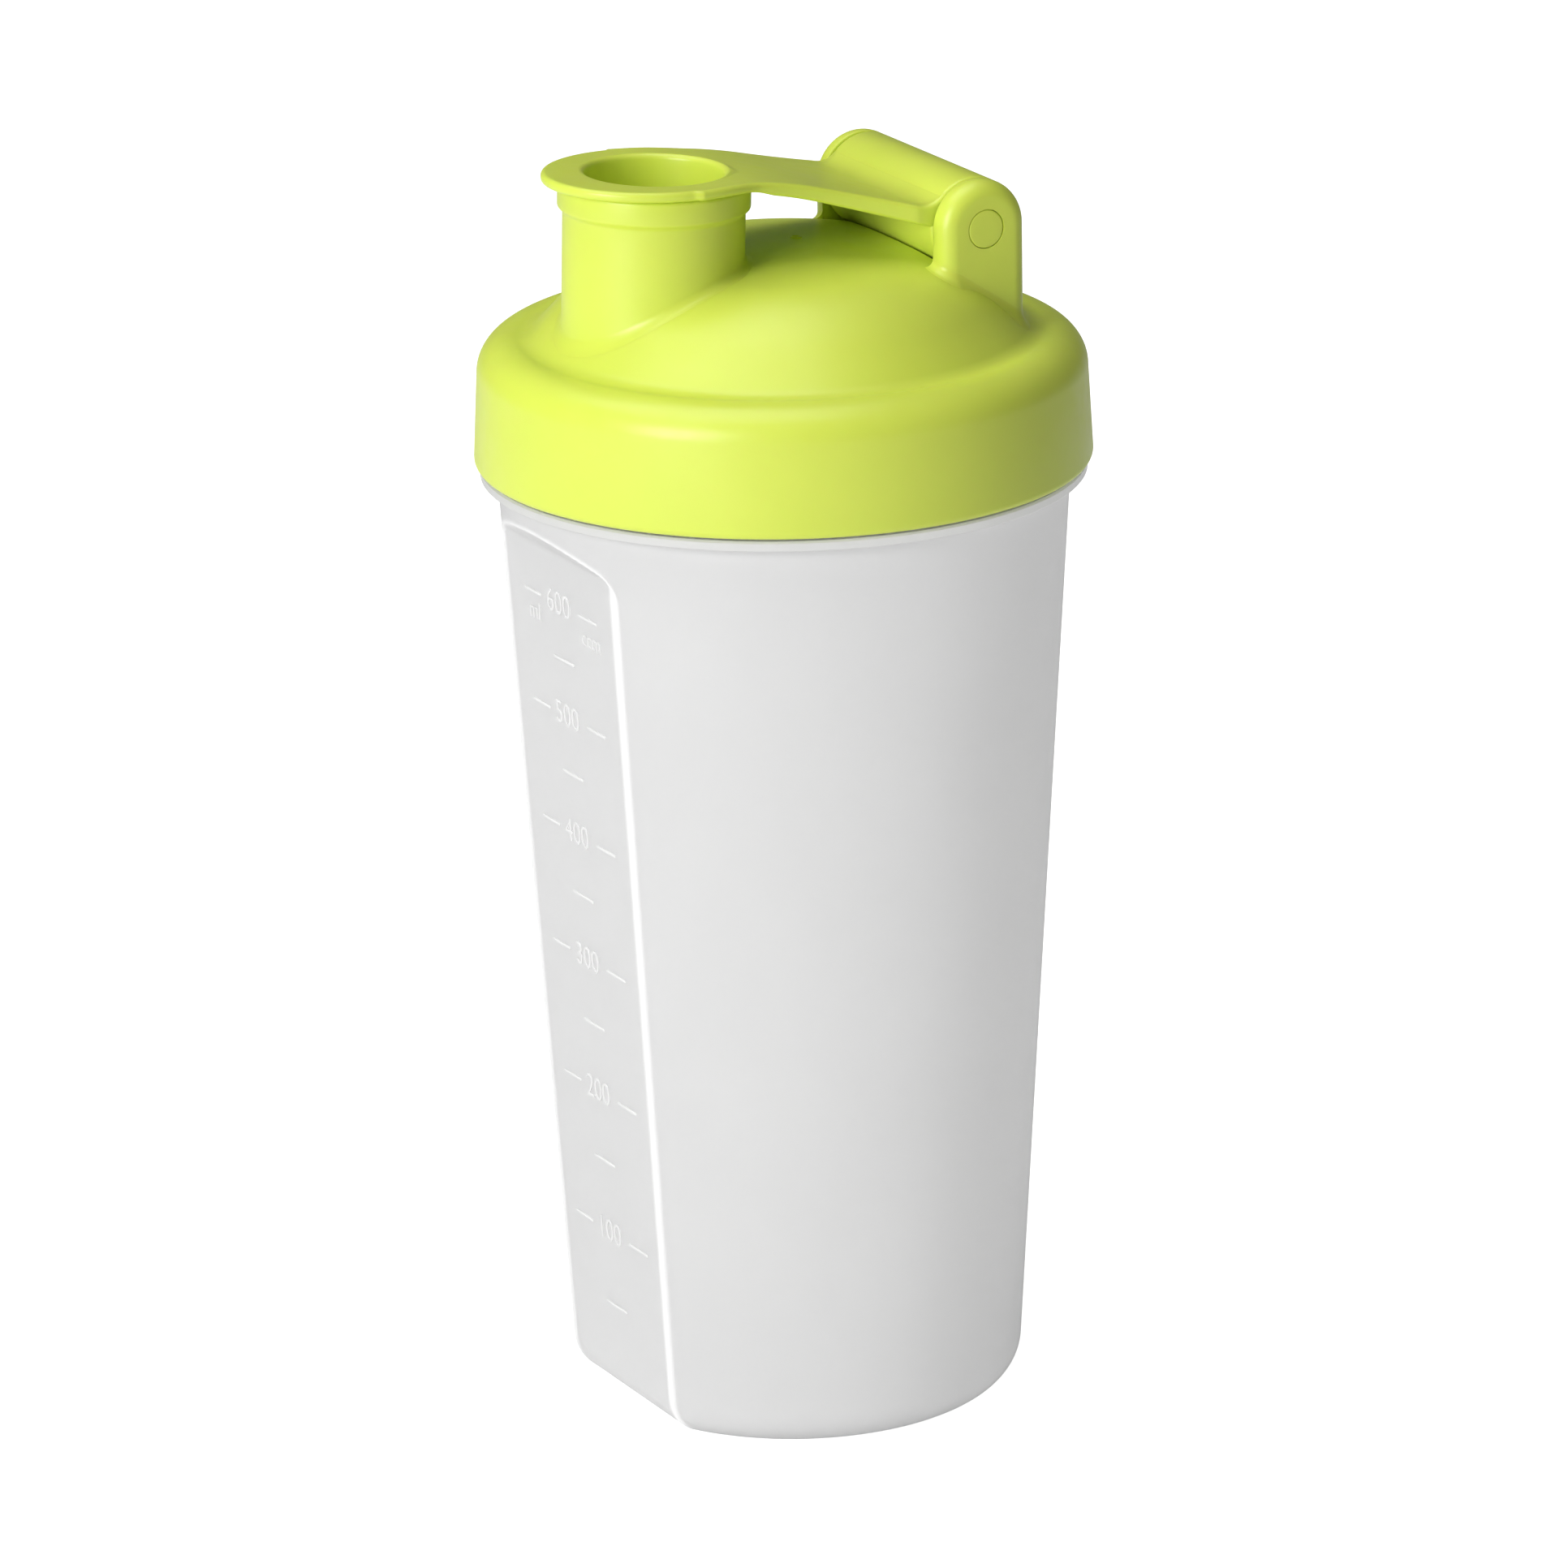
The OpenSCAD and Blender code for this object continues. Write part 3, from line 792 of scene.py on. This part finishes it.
# %% The pin, flush with the cheeks
def build_pin():
    bm = bmesh.new()
    half, r, soft = CHEEK_OUT - 0.02, PIN_R, 0.3
    outline = ([(0, -half), (r * 0.5, -half)] + arc(r - soft, soft - half, soft, -90, 0, 5)
               + arc(r - soft, half - soft, soft, 0, 90, 5) + [(r * 0.5, half), (0, half)])
    spin_profile(bm, outline, 96, closed=False)
    bmesh.ops.transform(bm, matrix=HINGE_FRAME, verts=bm.verts)
    return bm


finish_piece(build_pin(), "pin", "lid", LIME, "hinge_pin", corner=40)


# %% The web and the pocket for the barrel
POCKET_R = 7.8


def build_web(steps=24):
    """A bar between the cheeks. Its hollow front takes over from the pocket in the dome."""
    bm = bmesh.new()
    back = HINGE.y + BARREL_R - 0.02
    lip = math.degrees(math.asin(WEB_DROP / POCKET_R))
    hollow = arc(HINGE.y, HINGE.z, POCKET_R, -lip, -96, 20)
    front, deepest = hollow[-1]
    outline = ([(back, TOWER_FOOT), (back, WEB_TOP - 0.4), (back - 0.12, WEB_TOP - 0.12),
                (back - 0.4, WEB_TOP)] + hollow + [(front, TOWER_FOOT)])
    half = CHEEK_IN + 0.2
    face = bm.faces.new([bm.verts.new((-half, y, z)) for y, z in outline])
    bmesh.ops.spin(bm, geom=[face], cent=(0, 0, 0), axis=(1, 0, 0), angle=0.0, steps=steps,
                   dvec=(2 * half / steps, 0, 0), use_merge=False, use_duplicate=False)
    sink_feet(bm, TOWER_FOOT + 0.01)
    floor = HINGE.z - POCKET_R - 0.15
    for v in bm.verts:
        if v.co.y < front + 0.01 and v.co.z < deepest - 0.01:
            v.co.z = min(v.co.z, floor)
    return bm


cut_hole(lid, POCKET_R + 0.02, -CHEEK_IN - 0.1, CHEEK_IN + 0.1, HINGE_FRAME)
add_inner_parts(lid)
finish_piece(build_web(), "hinge_web", "lid", LIME, corner=35)


# %% The hollow fillet round the hinge's foot
def tower_path():
    """The outline of the hinge's foot with its outward directions, front to front."""
    r = EDGE_R
    x, front, back = CHEEK_OUT - r, HINGE.y - BARREL_R + r, HINGE.y + BARREL_R - r
    points = [((CHEEK_IN, front - r), -90), ((x - 0.4, front - r), -90)]
    points += list(zip(arc(x, front, r, -90, 0, 8), frange(-90, 0, 8)))
    points += list(zip(arc(x, back, r, 0, 90, 8), frange(0, 90, 8)))
    half = [(Vector(p), math.radians(a)) for p, a in points]
    other = [(Vector((-p.x, p.y)), math.pi - a) for p, a in reversed(half)]
    behind = [(Vector((u, HINGE.y + BARREL_R)), math.pi / 2)
              for u in frange(x - 1.5, 1.5 - x, 16)]
    return half + behind + other


def build_foot_fillet(fillet=1.6):
    bm = bmesh.new()
    path = tower_path()
    rows = [(-0.02, fillet + 0.6)] + hollow_rows(0, fillet) + [(-0.3, -0.6)]
    previous, first = [], []
    for out, lift in rows:
        verts = []
        for p, a in path:
            q = p + Vector((math.cos(a), math.sin(a))) * out
            verts.append(bm.verts.new((q.x, q.y, dome_height(q.x, q.y) + lift)))
        edges = [bm.edges.new(pair) for pair in zip(verts, verts[1:])]
        if previous:
            bmesh.ops.bridge_loops(bm, edges=previous + edges)
        previous = edges
        first = first or edges
    bmesh.ops.bridge_loops(bm, edges=previous + first)
    ends = [e for e in bm.edges if len(e.link_faces) == 1]
    bmesh.ops.holes_fill(bm, edges=ends, sides=0)
    return bm


finish_piece(build_foot_fillet(), "hinge_foot_fillet", "lid", LIME, corner=60)

# %% The gate mark on the dome
def build_gate_mark(place=(-2.0, 3.8)):
    """The stub left where the plastic was let in: a low ring with a sunken middle."""
    bm = bmesh.new()
    outline = ([(0, 0.02), (0.35, 0.03)] + arc(0.75, 0.02, 0.17, 150, 0, 6)
               + [(1.15, -0.12), (0, -0.3)])
    spin_profile(bm, outline, 32, closed=False)
    height = dome_height(*place)
    tilt = math.atan2(math.hypot(*place), CROWN_R)
    turn = Matrix.Rotation(tilt, 4, Vector((-place[1], place[0], 0)))
    bmesh.ops.transform(bm, matrix=Matrix.Translation((*place, height)) @ turn, verts=bm.verts)
    return bm


finish_piece(build_gate_mark(), "gate_mark", "lid", LIME, corner=60)

# %% [markdown]
# ## The flip cap
# One moulding again: a disc with a deep finger recess, which is also the plug, an arm
# that narrows and then widens, and a barrel on the pin. Seen from the recess every edge
# of the arm is in plain sight, so the whole skin is a stack of rings round the recess:
# up its wall, out over the top, round the edge, back underneath and down the plug.

# %% Lines of the arm
DISC_T = 1.6
BEND_Y = -18.0
BEND_R = 80.0
ARM_SLOPE = math.radians(15)
SEAT_GAP = 0.1
SEAT = LIP_H + SEAT_GAP
CAP_TOP = SEAT + DISC_T
BEND_Z = (SPOUT.z + CAP_TOP / math.cos(SPOUT_LEAN)
          - (BEND_Y - SPOUT.y) * math.tan(SPOUT_LEAN))
BEND_CENTRE = Vector((BEND_Y - BEND_R * math.sin(SPOUT_LEAN),
                      BEND_Z - BEND_R * math.cos(SPOUT_LEAN)))
BEND_END = BEND_CENTRE.x + BEND_R * math.sin(ARM_SLOPE)
ARM_FILLET = 4.0


def arm_line(y):
    """Height of the arm's upper face along its middle."""
    if y < BEND_Y:
        return BEND_Z - (y - BEND_Y) * math.tan(SPOUT_LEAN)
    if y < BEND_END:
        return BEND_CENTRE.y + math.sqrt(BEND_R ** 2 - (y - BEND_CENTRE.x) ** 2)
    return BEND_CENTRE.y + BEND_R * math.cos(ARM_SLOPE) - (y - BEND_END) * math.tan(ARM_SLOPE)


def fillet_centre():
    """Centre of the hollow between the arm and the barrel."""
    y = HINGE.y - BARREL_R - ARM_FILLET
    for _ in range(40):
        z = arm_line(y) + ARM_FILLET / math.cos(ARM_SLOPE)
        y -= 0.3 * (BARREL_R + ARM_FILLET - math.hypot(y - HINGE.y, z - HINGE.z))
    return y, z


HOLLOW_Y, HOLLOW_Z = fillet_centre()
HOLLOW_START = HOLLOW_Y - ARM_FILLET * math.sin(ARM_SLOPE)
HOLLOW_END = HOLLOW_Y + (HINGE.y - HOLLOW_Y) * ARM_FILLET / (BARREL_R + ARM_FILLET)
print("hollow between arm and barrel from y", round(HOLLOW_START, 1), "to", round(HOLLOW_END, 1))


def arm_top(x, y):
    """Height of the cap's upper face: the arm, the hollow, then the barrel."""
    if y < HOLLOW_START:
        return arm_line(y)
    if y < HOLLOW_END:
        return HOLLOW_Z - math.sqrt(ARM_FILLET ** 2 - (y - HOLLOW_Y) ** 2)
    return HINGE.z + math.sqrt(max(BARREL_R ** 2 - (y - HINGE.y) ** 2, 0)) - 0.06


def mouth_height(y):
    """Height of the spout's mouth."""
    return SPOUT.z + LIP_H / math.cos(SPOUT_LEAN) - (y - SPOUT.y) * math.tan(SPOUT_LEAN)


ARM_GROWTH = 1.5
GROWTH_LENGTH = 34
UNDER_END = 19


def arm_under(x, y):
    """Height of the cap's lower face, which stays clear of the spout's lip."""
    grow = min(max((y - BEND_Y) / GROWTH_LENGTH, 0), 1)
    under = arm_line(min(y, UNDER_END)) - DISC_T - ARM_GROWTH * grow
    clear = max(under, mouth_height(y) + SEAT_GAP)
    away = min(max((math.hypot(x, y - SPOUT.y) - LIP_R - 0.45) / 4.0, 0), 1)
    return clear + (under - clear) * away * away * (3 - 2 * away)


# %% Outline of the disc and the arm from above
NOSE_Y = -22.4
NOSE_LONG = 17.1
NOSE_HALF = 15.7
WAIST_Y = -7.0
WAIST_HALF = 13.4
WAIST_R = 60.0
NECK_BLEND = 3.0
TAIL_Y = 20.0


def half_width(y):
    """Half the cap's width: an oval nose that flows into a long, slim waist."""
    nose = NOSE_HALF * math.sqrt(max(1 - ((y - NOSE_Y) / NOSE_LONG) ** 2, 0))
    waist = WAIST_HALF + WAIST_R - math.sqrt(WAIST_R ** 2 - (y - WAIST_Y) ** 2)
    if y < NOSE_Y:
        return nose
    return min(-soft_min(-nose, -waist, NECK_BLEND), BARREL_HALF)


def arm_outline():
    """One side's points from the tip of the nose to the tail, then the other side's."""
    side = [(NOSE_HALF * math.sin(t), NOSE_Y - NOSE_LONG * math.cos(t))
            for t in frange(0, math.pi / 2, 30)]
    side += [(half_width(y), y) for y in frange(NOSE_Y, TAIL_Y, 70)[1:]]
    tail = [(x, TAIL_Y) for x in frange(BARREL_HALF, -BARREL_HALF, 40)[1:-1]]
    return [Vector(p) for p in side + tail + [(-x, y) for x, y in reversed(side)][:-1]]


OUTLINE = arm_outline()
PLUG_CENTRE = Vector((0, SPOUT.y + 0.19))
RAYS = [math.atan2(p.y - PLUG_CENTRE.y, p.x) for p in OUTLINE]


def inward(i, distance):
    """The outline's point i moved inwards, square to the outline."""
    before, after = OUTLINE[i - 1], OUTLINE[(i + 1) % len(OUTLINE)]
    along = (after - before).normalized()
    return OUTLINE[i] + Vector((-along.y, along.x)) * distance


# %% Rings of the flip cap
def round_ring(r, z):
    """A ring in the spout's own frame: radius r at height z."""
    return [SPOUT_FRAME @ Vector((r * math.cos(t), r * math.sin(t), z)) for t in RAYS]


def edge_ring(distance, drop, face):
    """A ring that follows the outline, at a distance inside it and a drop from a face."""
    ring = []
    for i in range(len(OUTLINE)):
        p = inward(i, distance)
        ring.append(Vector((p.x, p.y, face(p.x, p.y) + drop)))
    return ring


def between(inner, outer, share, face):
    """A ring part of the way from one ring to another, laid on a face."""
    ring = []
    for a, b in zip(inner, outer):
        p = a.lerp(b, share)
        ring.append(Vector((p.x, p.y, face(p.x, p.y))))
    return ring


# %% The rings in their order, and the skin
RECESS_R = 10.8
RECESS_DEPTH = 7.5
RECESS_FOOT = 0.8
RECESS_LIP = 0.85
EDGE_ROUND = 0.75
SEAT_R = 12.4
PLUG_DEPTH = 7.2
PLUG_FOOT = 0.7


def plug_radius(depth):
    """The plug slims quickly below its seat, then less and less."""
    return 12.15 - 0.2 * depth + 0.006 * depth ** 2


def recess_rings():
    """From the middle of the recess's floor up its wall and over its rounded lip."""
    floor, soft, lip = CAP_TOP - RECESS_DEPTH, RECESS_FOOT, RECESS_LIP
    rings = [round_ring(r, floor) for r in (3, 8, RECESS_R - soft)]
    rings += [round_ring(RECESS_R - soft + soft * math.sin(t), floor + soft - soft * math.cos(t))
              for t in frange(0.3, 1.57, 4)]
    rings += [round_ring(RECESS_R, CAP_TOP - 1.6)]
    return rings + [round_ring(RECESS_R + lip - lip * math.cos(t),
                               CAP_TOP - lip + lip * math.sin(t))
                    for t in frange(0, 1.57, 6)]


def face_rings(inner):
    """Out over the top from the recess's lip, round the edge and back to the seat."""
    outer = edge_ring(EDGE_ROUND, 0, arm_top)
    rings = [between(inner, outer, share, arm_top) for share in frange(0.025, 1.0, 40)]
    rings += [edge_ring(EDGE_ROUND * (1 - math.sin(t)), EDGE_ROUND * (math.cos(t) - 1), arm_top)
              for t in frange(0.25, math.pi / 2, 5)]
    low = 0.8 * EDGE_ROUND
    rings += [edge_ring(low * (1 - math.cos(t)), low * (1 - math.sin(t)), arm_under)
              for t in frange(0.0, math.pi / 2, 5)]
    under, seat = rings[-1], round_ring(SEAT_R, SEAT)
    return rings + [between(under, seat, share, arm_under) for share in frange(0.08, 1.0, 24)]


def plug_rings():
    """Down the plug's wall and in over its foot to the middle."""
    soft, straight = PLUG_FOOT, PLUG_DEPTH - PLUG_FOOT
    foot = plug_radius(straight)
    rings = [round_ring(plug_radius(d), SEAT - d) for d in frange(0.1, straight, 7)]
    rings += [round_ring(foot - soft + soft * math.cos(t),
                         SEAT - PLUG_DEPTH + soft - soft * math.sin(t))
              for t in frange(0.3, 1.57, 4)]
    return rings + [round_ring(r, SEAT - PLUG_DEPTH) for r in (8, 3)]


def lay_ring(verts, column, ring):
    for v in verts:
        v.co = ring[v[column]]


def build_cap_skin():
    bm = bmesh.new()
    column = bm.verts.layers.int.new("column")
    recess = recess_rings()
    rings = recess + face_rings(recess[-1]) + plug_rings()
    verts, rim = numbered_circle(bm, column, len(OUTLINE))
    lay_ring(verts, column, rings[0])
    bmesh.ops.contextual_create(bm, geom=verts)
    for ring in rings[1:]:
        verts, rim = extrude_rim(bm, rim)
        lay_ring(verts, column, ring)
    bmesh.ops.contextual_create(bm, geom=verts)
    return bm


finish_piece(build_cap_skin(), "cap_arm", "cap", LIME, "flip_cap", corner=50)


# %% The barrel
def build_barrel():
    bm = bmesh.new()
    bore, end, soft = PIN_R + 0.08, BARREL_HALF, 0.7
    outline = ([(bore, -end), (BARREL_R - soft, -end)]
               + arc(BARREL_R - soft, soft - end, soft, -90, 0, 5)[1:]
               + arc(BARREL_R - soft, end - soft, soft, 0, 90, 5) + [(bore, end)])
    spin_profile(bm, outline, 128)
    bmesh.ops.transform(bm, matrix=HINGE_FRAME, verts=bm.verts)
    return bm


finish_piece(build_barrel(), "cap_barrel", "cap", LIME, corner=40)

# %% [markdown]
# ## Parts that stay as they came
# The gasket and the strainer have the right shape already, so they only get a finish.

# %% Finish of the kept parts
for node, material in (("lid_gasket", SILICONE), ("strainer", WHITE)):
    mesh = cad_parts[node].data
    mesh.materials.clear()
    mesh.materials.append(material)

# %% [markdown]
# ## Camera, light and ground
# The camera looks slightly down at the lid, with the spout on the left and the hinge on
# the right. Light comes from one large soft window at the spout's side and a wide fill
# from above, and the ground and the sky are plain and pale.

# %% Camera
CAMERA_PLACE = Vector((1.2289, -0.6506, 0.5433))
CAMERA_FORWARD = Vector((-0.8421, 0.4452, -0.3043)).normalized()
CAMERA_ROLL = math.radians(-0.94)


def place_camera():
    data = bpy.data.cameras.new("camera")
    data.lens = 212.35
    data.sensor_width = 36
    data.clip_end = 50
    camera = bpy.data.objects.new("camera", data)
    bpy.context.scene.collection.objects.link(camera)
    level = CAMERA_FORWARD.cross(Vector((0, 0, 1))).normalized()
    up = level.cross(CAMERA_FORWARD)
    right = math.cos(CAMERA_ROLL) * level + math.sin(CAMERA_ROLL) * up
    top = math.cos(CAMERA_ROLL) * up - math.sin(CAMERA_ROLL) * level
    basis = Matrix((right, top, -CAMERA_FORWARD)).transposed().to_4x4()
    camera.matrix_world = Matrix.Translation(CAMERA_PLACE) @ basis
    bpy.context.scene.camera = camera


place_camera()


# %% Lights
def area_light(name, place, target, size, power):
    data = bpy.data.lights.new(name, "AREA")
    data.shape = "RECTANGLE"
    data.size, data.size_y = size
    data.energy = power
    lamp = bpy.data.objects.new(name, data)
    bpy.context.scene.collection.objects.link(lamp)
    lamp.location = place
    aim = Vector(target) - Vector(place)
    lamp.rotation_euler = aim.to_track_quat("-Z", "Y").to_euler()
    return lamp


area_light("window", (0.515, -1.232, 0.54), (0, 0, 0.12), (0.6, 0.7), 14.5)
area_light("top_fill", (-0.10, -0.30, 1.4), (0, 0, 0.1), (1.2, 1.2), 11.5)


# A low fill from the right reaches only the milky cup, which in truth is also lit from
# inside by the light that its own wall lets through.
cup_fill = area_light("cup_fill", (0.91, 0.65, 0.05), (0, 0, 0.06), (0.9, 0.7), 9)
milky = bpy.data.collections.new("milky_pieces")
for piece in (cup, scale):
    milky.objects.link(piece)
cup_fill.light_linking.receiver_collection = milky


# %% Sky and ground
def pale_world(strength=0.10):
    """White where the camera sees it, but only a weak light on the object."""
    world = bpy.data.worlds.new("pale_world")
    bpy.context.scene.world = world
    world.use_nodes = True
    nodes, links = world.node_tree.nodes, world.node_tree.links
    nodes.clear()
    output = nodes.new("ShaderNodeOutputWorld")
    seen = nodes.new("ShaderNodeBackground")
    seen.inputs["Color"].default_value = (1, 1, 1, 1)
    seen.inputs["Strength"].default_value = 1.0
    lit = nodes.new("ShaderNodeBackground")
    lit.inputs["Color"].default_value = (1, 1, 1, 1)
    lit.inputs["Strength"].default_value = strength
    path = nodes.new("ShaderNodeLightPath")
    mix = nodes.new("ShaderNodeMixShader")
    links.new(path.outputs["Is Camera Ray"], mix.inputs["Fac"])
    links.new(lit.outputs["Background"], mix.inputs[1])
    links.new(seen.outputs["Background"], mix.inputs[2])
    links.new(mix.outputs["Shader"], output.inputs["Surface"])


pale_world()


def pale_ground():
    """A pale floor that glows a little, more so where the camera sees it."""
    bm = bmesh.new()
    bmesh.ops.create_grid(bm, x_segments=1, y_segments=1, size=6)
    mesh = bpy.data.meshes.new("ground")
    bm.to_mesh(mesh)
    bm.free()
    ground = bpy.data.objects.new("ground", mesh)
    bpy.context.scene.collection.objects.link(ground)
    material, nodes, links, shader = new_material("pale_ground")
    shader.inputs["Base Color"].default_value = (0.9, 0.9, 0.9, 1)
    shader.inputs["Roughness"].default_value = 0.9
    shader.inputs["Specular IOR Level"].default_value = 0.1
    shader.inputs["Emission Color"].default_value = (1, 1, 1, 1)
    path = nodes.new("ShaderNodeLightPath")
    glow = nodes.new("ShaderNodeMath")
    glow.operation = "MULTIPLY_ADD"
    glow.inputs[1].default_value = 0.75
    glow.inputs[2].default_value = 0.12
    links.new(path.outputs["Is Camera Ray"], glow.inputs[0])
    links.new(glow.outputs["Value"], shader.inputs["Emission Strength"])
    mesh.materials.append(material)


pale_ground()
bpy.context.scene.view_settings.view_transform = "Standard"
